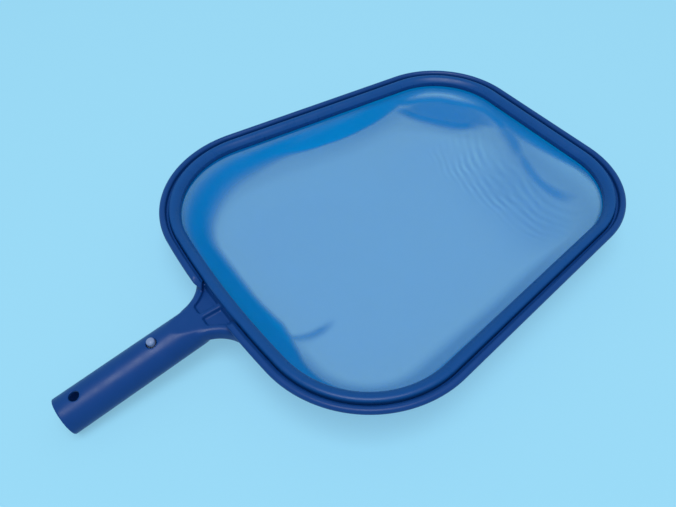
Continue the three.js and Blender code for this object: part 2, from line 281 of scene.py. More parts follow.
def combined(base, operation, *others):
    """The base joined with, or cut by, the other solids, which are used up."""
    for other in others:
        step = base.modifiers.new("solid", "BOOLEAN")
        step.operation = operation
        step.solver = "MANIFOLD"
        step.object = other
    applied(base)
    for other in others:
        bpy.data.objects.remove(other)
    return base


# ---- Materials ------------------------------------------------------------------------

PALE_BLUE = (0.319, 0.694, 0.913)
PLAIN_SHARE = 0.6  # how much of the floor's colour is seen plainly, without shadows
WEAVE_PITCH = 0.0006  # metres between threads
SLACK_COVER = 0.18  # how much of the slack net is thread, from 0 to 1
FULL_PAINTED_SHADE_COVER = 0.82  # and of the net where the painted shade is strongest
THREAD_COVER = 0.14  # what a thread adds to that
WRINKLE_PAINTED_SHADE = 0.06  # and a wrinkle, as painted shade and light in step with its relief
WRINKLE_RELIEF = 2.0  # how high a wrinkle stands against a thread
WRINKLE_PITCH = 7.0  # millimetres between wrinkles


def new_material(name):
    """An empty node material with its output, as (material, nodes, links, output)."""
    material = bpy.data.materials.new(name)
    material.use_nodes = True
    nodes = material.node_tree.nodes
    nodes.clear()
    output = nodes.new("ShaderNodeOutputMaterial")
    return material, nodes, material.node_tree.links, output


def plugged(links, value, socket):
    """Gives a socket its value: another socket, a number or a colour."""
    if isinstance(value, bpy.types.NodeSocket):
        links.new(value, socket)
    elif isinstance(value, tuple):
        socket.default_value = (*value, 1)
    else:
        socket.default_value = value


def calculated(nodes, links, operation, *values):
    """What a maths node makes of the values."""
    node = nodes.new("ShaderNodeMath")
    node.operation = operation
    for value, socket in zip(values, node.inputs):
        plugged(links, value, socket)
    return node.outputs[0]


def stored(nodes, name):
    """A value that the mesh holds at each point."""
    node = nodes.new("ShaderNodeAttribute")
    node.attribute_name = name
    return node.outputs["Fac"]


def noise(nodes, links, scale, detail=3.0, coordinates=None):
    """A noise texture over object coordinates."""
    texture = nodes.new("ShaderNodeTexNoise")
    texture.inputs["Scale"].default_value = scale
    texture.inputs["Detail"].default_value = detail
    if coordinates is None:
        coordinates = nodes.new("ShaderNodeTexCoord").outputs["Object"]
    links.new(coordinates, texture.inputs["Vector"])
    return texture.outputs["Fac"]


def mapped(nodes, links, value, low, high):
    """Value from 0 to 1 stretched to run from low to high."""
    node = nodes.new("ShaderNodeMapRange")
    node.inputs["From Min"].default_value = 0.3
    node.inputs["From Max"].default_value = 0.7
    node.inputs["To Min"].default_value = low
    node.inputs["To Max"].default_value = high
    links.new(value, node.inputs["Value"])
    return node.outputs["Result"]


def mixed(nodes, links, factor, first, second):
    """A colour between two colours."""
    node = nodes.new("ShaderNodeMix")
    node.data_type = "RGBA"
    plugged(links, factor, node.inputs[0])
    plugged(links, first, node.inputs[6])
    plugged(links, second, node.inputs[7])
    return node.outputs[2]


def mixed_shaders(nodes, links, factor, first, second):
    """A shader between two shaders."""
    node = nodes.new("ShaderNodeMixShader")
    plugged(links, factor, node.inputs[0])
    plugged(links, first, node.inputs[1])
    plugged(links, second, node.inputs[2])
    return node.outputs["Shader"]


def bumped(nodes, links, height, strength, distance):
    """A normal from a height."""
    node = nodes.new("ShaderNodeBump")
    node.inputs["Strength"].default_value = strength
    node.inputs["Distance"].default_value = distance
    links.new(height, node.inputs["Height"])
    return node.outputs["Normal"]


def moulded_plastic(name, dark, light, roughness):
    """Semi-gloss moulded plastic: faint cloudy colour, uneven sheen and a fine mould texture."""
    material, nodes, links, output = new_material(name)
    shader = nodes.new("ShaderNodeBsdfPrincipled")
    cloud = noise(nodes, links, 55, 4)
    links.new(mixed(nodes, links, cloud, dark, light), shader.inputs["Base Color"])
    sheen = noise(nodes, links, 140, 3)
    links.new(mapped(nodes, links, sheen, roughness - 0.05, roughness + 0.07), shader.inputs["Roughness"])
    grain = noise(nodes, links, 1400, 2)
    links.new(bumped(nodes, links, grain, 0.06, 0.0002), shader.inputs["Normal"])
    shader.inputs["Specular IOR Level"].default_value = 0.2
    links.new(shader.outputs["BSDF"], output.inputs["Surface"])
    return material


def brushed_steel(name):
    """Spring steel strip with a fine grain along it."""
    material, nodes, links, output = new_material(name)
    shader = nodes.new("ShaderNodeBsdfPrincipled")
    shader.inputs["Metallic"].default_value = 1.0
    place = nodes.new("ShaderNodeTexCoord").outputs["Object"]
    stretch = nodes.new("ShaderNodeMapping")
    stretch.inputs["Scale"].default_value = (60, 2500, 60)
    links.new(place, stretch.inputs["Vector"])
    grain = noise(nodes, links, 1, 2, stretch.outputs["Vector"])
    grey = mixed(nodes, links, grain, (0.40, 0.42, 0.45), (0.60, 0.62, 0.66))
    links.new(grey, shader.inputs["Base Color"])
    links.new(mapped(nodes, links, grain, 0.22, 0.38), shader.inputs["Roughness"])
    links.new(bumped(nodes, links, grain, 0.15, 0.0001), shader.inputs["Normal"])
    links.new(shader.outputs["BSDF"], output.inputs["Surface"])
    return material


def woven_wave(nodes, links, cloth, axis, pitch):
    """Threads across one axis of the cloth's own coordinates, from 0 between them to 1 on them."""
    wave = nodes.new("ShaderNodeTexWave")
    wave.wave_type = "BANDS"
    wave.bands_direction = axis
    wave.wave_profile = "SIN"
    wave.inputs["Scale"].default_value = 2 * math.pi / 20 / pitch
    wave.inputs["Distortion"].default_value = 0
    links.new(cloth, wave.inputs["Vector"])
    return wave.outputs["Fac"]


def wrinkle_waves(nodes, links):
    """Fine uneven wrinkles, from -1 to 1, along the cloth's ruck lines and only where it is rucked."""
    turns = 2 * math.pi / WRINKLE_PITCH
    sway = mapped(nodes, links, noise(nodes, links, 26, 2), -2.0, 2.0)
    phase = calculated(nodes, links, "MULTIPLY_ADD", stored(nodes, "across"), turns, sway)
    wave = calculated(nodes, links, "SINE", phase)
    broken = mapped(nodes, links, noise(nodes, links, 55, 1), 0.0, 1.0)
    strength = calculated(nodes, links, "MULTIPLY", broken, stored(nodes, "rucked"))
    return calculated(nodes, links, "MULTIPLY", wave, strength)


def net_material(name):
    """Fine see-through weave, with shade painted in as closer weave where the cloth hangs steeply or is
    folded.
    """
    material, nodes, links, output = new_material(name)
    cloth = nodes.new("ShaderNodeUVMap")
    cloth.uv_map = "cloth"
    warp = woven_wave(nodes, links, cloth.outputs["UV"], "X", WEAVE_PITCH)
    weft = woven_wave(nodes, links, cloth.outputs["UV"], "Y", WEAVE_PITCH)
    threads = calculated(nodes, links, "MAXIMUM", warp, weft)
    wrinkled = wrinkle_waves(nodes, links)
    # the stored cover holds shade painted in as closer weave on the hanging walls, at folds and beside
    # the ring
    painted_shade_cover = stored(nodes, "painted_shade_cover")
    woven = calculated(nodes, links, "MULTIPLY_ADD", threads, THREAD_COVER, painted_shade_cover)
    # wrinkles also paint shade and light into the cover, in step with their relief
    cover = calculated(nodes, links, "MULTIPLY_ADD", wrinkled, WRINKLE_PAINTED_SHADE, woven)
    relief = calculated(nodes, links, "MULTIPLY_ADD", wrinkled, WRINKLE_RELIEF, threads)

    cloud = noise(nodes, links, 28, 3)
    # thread colours of the slack net and of the closer weave that carries the painted shade
    slack = mixed(nodes, links, cloud, (0.001, 0.105, 0.53), (0.001, 0.135, 0.58))
    painted_shade_colour = mixed(nodes, links, cloud, (0.001, 0.34, 0.72), (0.001, 0.38, 0.78))
    colour = mixed(nodes, links, painted_shade_cover, slack, painted_shade_colour)
    shader = nodes.new("ShaderNodeBsdfPrincipled")
    links.new(colour, shader.inputs["Base Color"])
    shader.inputs["Roughness"].default_value = 0.7
    shader.inputs["Specular IOR Level"].default_value = 0.0
    links.new(bumped(nodes, links, relief, 0.3, 0.0002), shader.inputs["Normal"])
    through = nodes.new("ShaderNodeBsdfTranslucent")
    links.new(colour, through.inputs["Color"])
    clear = nodes.new("ShaderNodeBsdfTransparent")
    thread = mixed_shaders(nodes, links, 0.35, shader.outputs["BSDF"], through.outputs["BSDF"])
    net = mixed_shaders(nodes, links, cover, clear.outputs["BSDF"], thread)
    links.new(net, output.inputs["Surface"])
    return material


def cord_material(name):
    """Twisted synthetic cord."""
    material, nodes, links, output = new_material(name)
    shader = nodes.new("ShaderNodeBsdfPrincipled")
    fibre = noise(nodes, links, 900, 4)
    blue = mixed(nodes, links, fibre, (0.01, 0.12, 0.34), (0.03, 0.22, 0.5))
    links.new(blue, shader.inputs["Base Color"])
    shader.inputs["Roughness"].default_value = 0.8
    links.new(bumped(nodes, links, fibre, 0.4, 0.0003), shader.inputs["Normal"])
    links.new(shader.outputs["BSDF"], output.inputs["Surface"])
    return material


def seen_plainly(nodes, links):
    """1 where the camera, a gloss or glass sees the surface, and 0 where it only gives light."""
    path = nodes.new("ShaderNodeLightPath").outputs
    mirrored = calculated(nodes, links, "MAXIMUM", path["Is Glossy Ray"], path["Is Transmission Ray"])
    return calculated(nodes, links, "MAXIMUM", path["Is Camera Ray"], mirrored)


def floor_material(name, colour):
    """A matt floor, seen partly in its plain colour, which softens the shadows on it."""
    material, nodes, links, output = new_material(name)
    shader = nodes.new("ShaderNodeBsdfPrincipled")
    shader.inputs["Base Color"].default_value = (*colour, 1)
    shader.inputs["Roughness"].default_value = 0.9
    shader.inputs["Specular IOR Level"].default_value = 0.0
    plain = nodes.new("ShaderNodeEmission")
    plain.inputs["Color"].default_value = (*colour, 1)
    share = calculated(nodes, links, "MULTIPLY", seen_plainly(nodes, links), PLAIN_SHARE)
    floor = mixed_shaders(nodes, links, share, shader.outputs["BSDF"], plain.outputs["Emission"])
    links.new(floor, output.inputs["Surface"])
    return material


# ---- Frame ----------------------------------------------------------------------------


def rim_section():
    """The rim's outer bead, groove, channel wall and channel floor."""
    bead = arc_points((BEAD_RADIUS, -BEAD_RADIUS), BEAD_RADIUS, 0, math.radians(235), 28)
    rest = [
        (4.2, 0.8 - RIM_DEPTH),
        (5, -RIM_DEPTH),
        (RIM_WIDTH - 0.8, -RIM_DEPTH),
        (RIM_WIDTH, 0.8 - RIM_DEPTH),
        (RIM_WIDTH, -0.3 - CHANNEL_FLOOR),
        (RIM_WIDTH - 0.3, -CHANNEL_FLOOR),
        (CHANNEL_START, -CHANNEL_FLOOR),
        (CHANNEL_START, -GROOVE_DEPTH),
        (2 * BEAD_RADIUS, -GROOVE_DEPTH),
    ]
    return [tuple(p) for p in bead] + rest


def tube_body():
    """The handle tube with a rounded end inside the neck and a slightly eased open end."""
    profile = [(0, TUBE_RADIUS - 0.5), (0.5, TUBE_RADIUS), (TUBE_SOLID_LENGTH, TUBE_RADIUS)]
    for i in range(1, 16):
        angle = i / 16 * math.pi / 2
        profile.append((TUBE_SOLID_LENGTH + TUBE_RADIUS * math.sin(angle), TUBE_RADIUS * math.cos(angle)))
    return turned_on_tube("tube", profile, 128)


def bore_body():
    """The bore with its chamfered mouth and its narrow end."""
    profile = [
        (-1, BORE_RADIUS + 1.8),
        (0.8, BORE_RADIUS),
        (BORE_LENGTH, BORE_RADIUS),
        (BORE_END, BORE_END_RADIUS),
    ]
    return turned_on_tube("bore", profile, 128)


def hole_body(along):
    """A button hole through both walls of the tube."""
    circle = arc_points((along, 0), HOLE_RADIUS, 0, 2 * math.pi, 48)[:-1]
    ends = (-1.5 * TUBE_RADIUS, 1.5 * TUBE_RADIUS)
    return lofted("hole", [on_tube(level(circle, height)) for height in ends])


def neck_outline(grown):
    """The neck's plan between its two hollow sides, grown outwards by a distance."""
    radius = NECK_ARC_RADIUS - grown
    left = arc_points((NECK_ARC_X, NECK_ARC_Y), radius, -NECK_ARC_START, -NECK_ARC_END, 40)
    right = left[::-1] * (1, -1)
    end = NECK_ARC_X + NECK_ARC_RADIUS * math.cos(NECK_ARC_START) + grown
    return np.concatenate([[(end, left[0, 1])], left, right, [(end, right[-1, 1])]])


def neck_body():
    """The neck plate with round edges."""
    rings = []
    bottom = NECK_TOP - NECK_HEIGHT
    for i in range(9):
        angle = math.pi / 2 * i / 8
        height = bottom + NECK_BEVEL * (1 - math.cos(angle))
        rings.append(level(neck_outline(NECK_BEVEL * math.sin(angle)), height))
    for i in range(9):
        angle = math.pi / 2 * i / 8
        height = NECK_TOP - NECK_BEVEL * (1 - math.sin(angle))
        rings.append(level(neck_outline(NECK_BEVEL * math.cos(angle)), height))
    return lofted("neck", rings)


def pocket_body(side):
    """A pocket beside the centre rib, with round corners and walls that lean in slightly."""
    outer = NECK_ARC_RADIUS + NECK_RIB
    starts = -math.acos((RING_START - NECK_ARC_X) / outer)
    ends = -math.acos((POCKET_START_X - NECK_ARC_X) / outer)
    curve = arc_points((NECK_ARC_X, NECK_ARC_Y), outer, starts, ends, 6)
    corners = [(POCKET_START_X, CENTRE_RIB / 2, 1.5), (RING_START, CENTRE_RIB / 2, 1.0)]
    corners += [(x, y, 1.5) for x, y in curve]
    outline = rounded(corners, 6) * (1, side)
    middle = outline.mean(axis=0)
    rings = []
    for height, share in ((POCKET_FLOOR, 0.90), (NECK_TOP, 1.0), (1, 1.06)):
        rings.append(level(middle + (outline - middle) * share, height))
    return lofted("pocket", rings)


def neck_clearance():
    """What is cut away over the neck: the ramp down from the tube, and the valley across the rim."""
    ramp = [(RAMP_START_X, RAMP_START_Z), (RAMP_END_X, NECK_TOP)]
    ramp += [(2, NECK_TOP), (2, 5), (RAMP_START_X, 5)]
    half = TUBE_RADIUS + 1
    over = lofted("ramp", [np.array([(x, y, z) for x, z in ramp]) for y in (-half, half)])
    rise = []
    for i in range(9):
        y = VALLEY_FLAT - 2 + (VALLEY_TOP - VALLEY_FLAT + 4) * i / 8
        rise.append((y, NECK_TOP + (0.5 - NECK_TOP) * (1 - math.cos(math.pi * i / 8)) / 2))
    valley = rise + [(-y, z) for y, z in rise[::-1]]
    ends = (RAMP_END_X, RING_START)
    across = lofted("valley", [np.array([(x, y, z) for y, z in valley]) for x in ends])
    return combined(over, "UNION", across)


def soften(body, name, turns, start, end, half_width):
    """Rounds the body's edges for x from start to end and y within half_width, fading in over 4 mm."""
    points = np.zeros(3 * len(body.data.vertices), np.float32)
    body.data.vertices.foreach_get("co", points)
    x, y, _ = ((points.reshape(-1, 3) - np.array(ORIGIN)) / MM).T
    reach = np.minimum(np.minimum(x - start, end - x), half_width - np.abs(y))
    group = body.vertex_groups.new(name=name)
    for rank in range(1, 5):
        chosen = np.flatnonzero((reach > rank - 1) & ((reach <= rank) | (rank == 4)))
        group.add([int(i) for i in chosen], rank / 4, "REPLACE")
    smooth = body.modifiers.new(name, "SMOOTH")
    smooth.factor = 0.5
    smooth.iterations = turns
    smooth.vertex_group = name
    applied(body)
    body.vertex_groups.clear()


def frame_piece():
    """The whole moulded frame as one smooth surface."""
    body = around_rim("skimmer_frame", rim_section(), rim_stations(2))
    body = combined(body, "UNION", neck_body(), tube_body())
    body = combined(body, "DIFFERENCE", neck_clearance(), pocket_body(1), pocket_body(-1))
    body = combined(body, "DIFFERENCE", bore_body(), hole_body(SPARE_HOLE), hole_body(BUTTON_HOLE))
    remesh = body.modifiers.new("even", "REMESH")
    remesh.mode = "VOXEL"
    remesh.voxel_size = 0.5 * MM
    remesh.use_smooth_shade = True
    applied(body)
    soften(body, "all", 4, -1e3, 1e3, 1e3)
    soften(body, "neck", 20, -40, 6.5, 34)
    soften(body, "ramp", 50, -44, -9, 20)
    thin = body.modifiers.new("thin", "DECIMATE")
    thin.ratio = min(1.0, 95_000 / len(body.data.polygons))
    applied(body)
    body.data.polygons.foreach_set("use_smooth", [True] * len(body.data.polygons))
    body.data.materials.clear()
    body.data.materials.append(FRAME_PLASTIC)
    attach(body, "skimmer")
    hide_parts("frame")
    return body


# ---- Ring, hem cord and net -----------------------------------------------------------


def ring_piece():
    """The retaining ring, with its rounded ridge and its leg in the channel."""
    corners = [
        (RING_START, 0.7 - CHANNEL_FLOOR, 0.3),
        (8.9, 0.7 - CHANNEL_FLOOR, 0.3),
        (8.9, -5, 0.2),
        (11.7, -5, 0.2),
        (11.7, -7.5, 0.3),
        (RIM_WIDTH, -7.5, 0.4),
        (RIM_WIDTH, -3.8, 0.7),
        (14.6, -1.9, 1.0),
        (12.6, -0.5, 1.2),
        (10.4, 0, 1.2),
        (8.5, -0.5, 1.0),
        (RING_START, -1.8, 0.7),
    ]
    ring = around_rim("net_ring", rounded(corners, 4), rim_stations(2))
    ring.data.materials.append(RING_PLASTIC)
    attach(ring, "skimmer")
    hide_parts("retaining_ring")
    return ring


def hem_cord_piece():
    """The cord in the net's hem: two strands twisted together."""
    stations = rim_stations(0.8)
    count = len(stations)
    sides = 12
    turns = round(count * 0.8 / 7)
    twist = np.linspace(0, 2 * math.pi * turns, count, endpoint=False)
    centre_height = -CHANNEL_FLOOR + 0.4 + HEM_CORD_RADIUS
    rows = []
    for k in range(sides):
        angle = 2 * math.pi * k / sides
        radius = HEM_CORD_RADIUS * (0.80 + 0.20 * np.abs(np.cos(angle - twist)))
        x = stations[:, 0] + (HEM_CORD_IN + radius * math.cos(angle)) * np.sin(stations[:, 2])
        y = stations[:, 1] - (HEM_CORD_IN + radius * math.cos(angle)) * np.cos(stations[:, 2])
        rows.append(np.stack([x, y, centre_height + radius * math.sin(angle)], axis=1))
    cord = mesh_object("hem_rope", np.concatenate(rows), grid_faces(sides, count, True, True))
    cord.data.materials.append(CORD_FIBRE)
    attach(cord, "skimmer")
    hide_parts("hem_cord")
    return cord


# How the net hangs, by direction from the bag's middle: degrees, the distance in and the
# height of the foot of its wall, and how far past the foot it lies flat.
WALL_FOOT = (
    (-60, 34, 10, 45),
    (-30, 34, 10, 45),
    (-17, 37, 12, 46),
    (-9, 33, 17, 46),
    (-2, 27, 23, 45),
    (6, 22, 28, 45),
    (14, 22, 29, 45),
    (36, 24, 29, 22),
    (51, 26, 26, 40),
    (66, 30, 23, 70),
    (84, 31, 23, 70),
    (99, 29, 24, 70),
    (110, 23, 29, 45),
    (135, 32, 16, 45),
    (180, 38, 12, 40),
    (225, 36, 12, 40),
    (270, 32, 14, 45),
    (300, 34, 10, 45),
)


def bag_plan(stations):
    """Rows of plan points from the clamped edge to the bag's middle."""
    distances = [12, 13.5, 15, 16, 16.6, 17.1, 17.5, BAG_START, *np.arange(19, BAG_INSET + 0.1, 1)]
    rows = [inset(stations, d) for d in distances]
    last = rows[-1]
    for i in range(1, 91):
        rows.append(last + (BAG_MIDDLE - last) * (i / 91))
    return np.array(rows)


def distance_in(plan, outline):
    """How far each plan point is from the outer edge."""
    flat = plan.reshape(-1, 2)
    nearest = np.full(len(flat), np.inf)
    for a, b in zip(outline, np.roll(outline, -1, axis=0)):
        along = b - a
        t = np.clip((flat - a) @ along / (along @ along), 0, 1)
        gap = flat - a - t[:, None] * along
        nearest = np.minimum(nearest, np.einsum("ij,ij->i", gap, gap))
    return np.sqrt(nearest).reshape(plan.shape[:2])


def crease(plan, points, width, fade):
    """How near each plan point is to a curve led by the points: 1 on it, and less near its ends."""
    line = np.array(points, float)
    for _ in range(3):
        first, second = line[:-1], line[1:]
        cut = np.stack([0.75 * first + 0.25 * second, 0.25 * first + 0.75 * second], axis=1)
        line = np.concatenate([line[:1], cut.reshape(-1, 2), line[-1:]])
    lengths = np.linalg.norm(np.diff(line, axis=0), axis=1)
    total = lengths.sum()
    best = np.zeros(plan.shape[:2])
    gone = 0
    for a, b, length in zip(line[:-1], line[1:], lengths):
        t = np.clip(((plan - a) @ (b - a)) / length**2, 0, 1)
        gap = np.linalg.norm(plan - a - t[..., None] * (b - a), axis=2)
        along = gone + t * length
        ends = np.clip(np.minimum(along, total - along) / fade, 0, 1)
        best = np.maximum(best, ends * np.exp(-((gap / width) ** 2)))
        gone += length
    return best


def bag_heights(plan, depth):
    """Height of the slack bag at each plan point."""
    foot, foot_height, settled = by_direction(plan, WALL_FOOT)
    share = (depth - BAG_START) / (foot - BAG_START)
    wall = -BAG_DROP + (NET_FLOOR + foot_height + BAG_DROP) * share
    past = np.maximum(depth - foot, 0)
    beyond = NET_FLOOR + foot_height * np.maximum(0, 1 - past / settled) ** 2
    blend = 1.2
    height = blend * np.logaddexp(wall / blend, beyond / blend)
    drop = np.clip((depth - 16.6) / (BAG_START - 16.6), 0, 1)
    top = NET_TOP + (-BAG_DROP - NET_TOP) * drop ** 1.5
    return np.where(depth < BAG_START, top, height)


# Painted shade on the hanging wall, drawn as closer weave, by direction: degrees, the distance in where
# it opens out, how soft that edge is, how strong the painted shade is from 0 to 1, how strong it still is
# down to the wall's foot, and how much and how far it opens beside the ring as a painted light line.
WALL_PAINTED_SHADE = (
    (-60, 19.5, 5, 0.7, 0.22, 0, 2),
    (-36, 17.2, 2, 0.7, 0.1, 0, 2),
    (-24, 17.6, 2, 0.8, 0.1, 0, 2),
    (-10, 20.5, 4, 0.9, 0.12, 0, 2),
    (2, 21.5, 6, 0.9, 0.2, 0, 2),
    (20, 20.5, 6, 0.8, 0.2, 0, 2),
    (36, 18.5, 3, 0.8, 0.1, 0, 2),
    (46, 19.5, 5, 0.8, 0.2, 0, 2),
    (57, 27, 3, 0.95, 0.3, 0, 2),
    (76, 31, 2.5, 1.0, 0.2, 0.2, 1.8),
    (97, 30, 2.5, 1.0, 0.2, 0.5, 1.8),
    (110, 26, 8, 1.0, 0.3, 0.55, 2),
    (124, 29, 13, 0.95, 0.2, 0.55, 3.5),
    (134, 33, 16, 0.95, 0.1, 0.6, 5),
    (150, 36, 14, 0.95, 0.1, 0.55, 5),
    (160, 38, 12, 0.95, 0.1, 0.3, 3),
    (170, 39, 10, 0.95, 0.1, 0.1, 2),
    (180, 39, 9, 0.95, 0.2, 0, 2),
    (188, 43, 8, 0.95, 0.2, 0, 2),
    (195, 44, 8, 0.95, 0.2, 0, 2),
    (199, 36, 10, 0.9, 0.3, 0, 2),
    (208, 31, 11, 0.85, 0.3, 0, 2),
    (225, 23, 10, 0.75, 0.3, 0, 2),
    (270, 19, 6, 0.7, 0.28, 0, 2),
    (300, 19.5, 5, 0.7, 0.22, 0, 2),
)

# Painted shade, drawn as closer weave, in the wedge under the far corner's crease: degrees, how far
# in it reaches, and how strong the painted shade is.
WEDGE_PAINTED_SHADE = (
    (8, 22, 0),
    (16, 26.5, 0.5),
    (21, 30, 0.55),
    (28, 35, 0.6),
    (35, 36, 0.62),
    (41, 33, 0.62),
    (49, 26, 0.55),
    (52, 25, 0),
)

# Soft folds of the slack net: a line of points, its width, how long its ends fade, its rise,
# and its painted shade as closer weave (or, below 0, its painted light as more open weave).
FOLDS = (
    (
        ((255, 112), (270, 108), (287, 102), (303, 92), (315, 75), (323, 57), (323, 34), (321, 15)),
        2.5,
        12,
        0,
        0.85,
    ),
    (((323, 42), (321, 16), (316, 0), (310, -18)), 3.8, 22, 1.2, 0.55),
    (((318, 8), (311, -16), (307, -35), (308, -50), (310, -66), (312, -80)), 3.2, 24, 1.0, 0.5),
    (((252, 107), (266, 104), (283, 93), (295, 82), (305, 69), (313, 54), (316, 40)), 2.8, 20, 0, 0.75),
    (((28, -30), (40, -38), (52, -41), (64, -41), (80, -39)), 3, 14, 1.0, 0.4),
    (((300, -10), (296, -50), (285, -85)), 36, 10, 0, 0.14),
    (((140, 122), (163, 122), (205, 118), (242, 116)), 2, 25, 0, -0.2),
)


def wrinkle_lines(plan):
    """How far across the fine wrinkles each plan point is, and how much the net is rucked there."""
    x, y = plan[..., 0], plan[..., 1]
    across = x - 0.3 * y - 0.0025 * y * y
    rucked = np.exp(-(((x - 286) / 24) ** 4) - ((y + 10) / 62) ** 4)
    return across, rucked


def by_direction(plan, table):
    """The table's columns at each plan point's direction from the bag's middle, evened out."""
    away = plan - BAG_MIDDLE
    angle = np.degrees(np.arctan2(away[..., 1], away[..., 0]))
    rows = np.array(table, float)
    columns = []
    for column in rows.T[1:]:
        values = [np.interp((angle + turn + 60) % 360 - 60, rows[:, 0], column) for turn in (-5, 0, 5)]
        columns.append(sum(values) / 3)
    return columns


def stepped(values, edge, soft):
    """From 1 below the edge to 0 above it, over a soft width."""
    t = np.clip((edge + soft / 2 - values) / soft, 0, 1)
    return t * t * (3 - 2 * t)


def painted_wall_shade(plan, depth):
    """Painted shade, drawn as closer weave, on the hanging wall and on the steep stretch at the far
    corner, with a painted light line beside the ring.
    """
    edge, soft, strength, rest, painted_light_line, over = by_direction(plan, WALL_PAINTED_SHADE)
    foot, _, _ = by_direction(plan, WALL_FOOT)
    reach, filled = by_direction(plan, WEDGE_PAINTED_SHADE)
    # less painted shade right beside the ring leaves a painted light line there
    beside_ring = np.exp(-((np.maximum(depth - 17, 0) / over) ** 2))
    wall = strength * stepped(depth, edge, soft) * (1 - painted_light_line * beside_ring)
    below_crease = stepped(-depth, 1 - foot, 3) * stepped(depth, reach, 3)
    return np.maximum.reduce([wall, filled * below_crease, rest * stepped(depth, foot + 2, 16)])


def net_piece():
    """The net: clamped flange, wall and slack bottom, as one thin cloth."""
    stations = rim_stations(2.6)
    plan = bag_plan(stations)
    depth = distance_in(plan, rim_stations(2)[:, :2])
    height = bag_heights(plan, depth)
    painted_shade_cover = painted_wall_shade(plan, depth)
    # each fold gets painted shade as closer weave, or painted light as more open weave where its value is
    # below 0
    for line, width, fade, rise, fold_shade in FOLDS:
        near = crease(plan, line, width, fade)
        height += rise * near * np.clip((depth - 24) / 10, 0, 1)
        painted_shade_cover = np.maximum(painted_shade_cover, fold_shade * near) + min(fold_shade, 0) * near
    rows, columns = height.shape
    points = np.column_stack([plan.reshape(-1, 2), height.ravel()])
    middle = np.array([[*BAG_MIDDLE, height[-1].mean()]])
    points = np.concatenate([points, middle])
    faces = grid_faces(rows, columns, False, True)
    last = (rows - 1) * columns
    for j in range(columns):
        faces.append((last + j, last + (j + 1) % columns, rows * columns))
    net = mesh_object("net_bag", points, faces)

    grid = points[:-1].reshape(rows, columns, 3)
    steps = np.diff(np.concatenate([grid, np.tile(middle, (1, columns, 1))]), axis=0)
    lengths = np.linalg.norm(steps, axis=2)[::-1].cumsum(axis=0)[::-1]
    away = plan[0] - BAG_MIDDLE
    direction = away / np.linalg.norm(away, axis=1)[:, None]
    cloth = (direction[None] * lengths[..., None]).reshape(-1, 2)
    cloth = np.concatenate([cloth, [[0, 0]]]) * MM
    layer = net.data.uv_layers.new(name="cloth")
    corner_points = np.zeros(len(net.data.loops), int)
    net.data.loops.foreach_get("vertex_index", corner_points)
    layer.data.foreach_set("uv", cloth[corner_points].astype(np.float32).ravel())

    # the painted shade, from 0 to 1, raises the thread cover from the slack net's upwards
    painted_shade_cover = SLACK_COVER + (FULL_PAINTED_SHADE_COVER - SLACK_COVER) * painted_shade_cover
    across, rucked = wrinkle_lines(plan)
    for name, values in (("painted_shade_cover", painted_shade_cover), ("across", across), ("rucked", rucked)):
        attribute = net.data.attributes.new(name, "FLOAT", "POINT")
        with_middle = np.append(values.ravel(), values[-1].mean())
        attribute.data.foreach_set("value", with_middle.astype(np.float32))

    thicken = net.modifiers.new("thickness", "SOLIDIFY")
    thicken.thickness = 0.35 * MM
    thicken.offset = 0
    applied(net)
    net.data.polygons.foreach_set("use_smooth", [True] * len(net.data.polygons))
    net.data.materials.append(NET_WEAVE)
    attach(net, "skimmer")
    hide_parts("net")
    return net


# ---- Spring clip ----------------------------------------------------------------------


def strip_piece(name, outline, body, node, flip=1):
    """A bent strip drawn as (along, height over the axis), CLIP_WIDTH wide, with eased edges."""
    ease = 0.15
    half = CLIP_WIDTH / 2
    rings = []
    for across, shrink in ((-half, ease), (ease - half, 0), (half - ease, 0), (half, ease)):
        along, height = inward(outline, shrink).T
        rings.append(on_tube(np.column_stack([along, np.full(len(along), across), flip * height])))
    strip = lofted(name, rings)
    strip.data.polygons.foreach_set("use_smooth", [False] * len(strip.data.polygons))
    strip.data.materials.append(STEEL)
    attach(strip, body)
    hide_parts(node)
    return strip


def inward(outline, distance):
    """A closed outline moved inwards by a distance."""
    if distance == 0:
        return outline
    before = outline - np.roll(outline, 1, axis=0)
    after = np.roll(outline, -1, axis=0) - outline
    x, y = outline.T
    turns_left = np.sum(x * np.roll(y, -1) - y * np.roll(x, -1)) > 0
    sign = 1 if turns_left else -1
    normal_before = np.stack([-before[:, 1], before[:, 0]], axis=1)
    normal_after = np.stack([-after[:, 1], after[:, 0]], axis=1)
    normal_before /= np.linalg.norm(normal_before, axis=1)[:, None]
    normal_after /= np.linalg.norm(normal_after, axis=1)[:, None]
    bisector = normal_before + normal_after
    bisector /= np.linalg.norm(bisector, axis=1)[:, None]
    reach = distance / np.einsum("ij,ij->i", bisector, normal_after)
    return outline + sign * bisector * reach[:, None]


def clip_bend_piece():
    """The clip's round bend and the fixed roots of its arms."""
    cos, sin = math.cos(CLIP_SPREAD), math.sin(CLIP_SPREAD)
    run = (ARM_HEIGHT - CLIP_BEND_RADIUS * cos) / sin
    centre = ARM_ROOT + run * cos - CLIP_BEND_RADIUS * sin
    half = CLIP_THICKNESS / 2
    turn = math.pi / 2 - CLIP_SPREAD
    outer = arc_points((centre, 0), CLIP_BEND_RADIUS + half, turn, -turn, 20)
    inner = arc_points((centre, 0), CLIP_BEND_RADIUS - half, -turn, turn, 20)
    outside = (ARM_ROOT + half * sin, ARM_HEIGHT + half * cos)
    inside = (ARM_ROOT, ARM_HEIGHT - half * cos)
    tips = [(outside[0], -outside[1]), (inside[0], -inside[1])]
    outline = np.concatenate([outer, tips, inner, [inside, outside]])
    return strip_piece("clip_spring_bend", outline, "skimmer", "clip_bend")


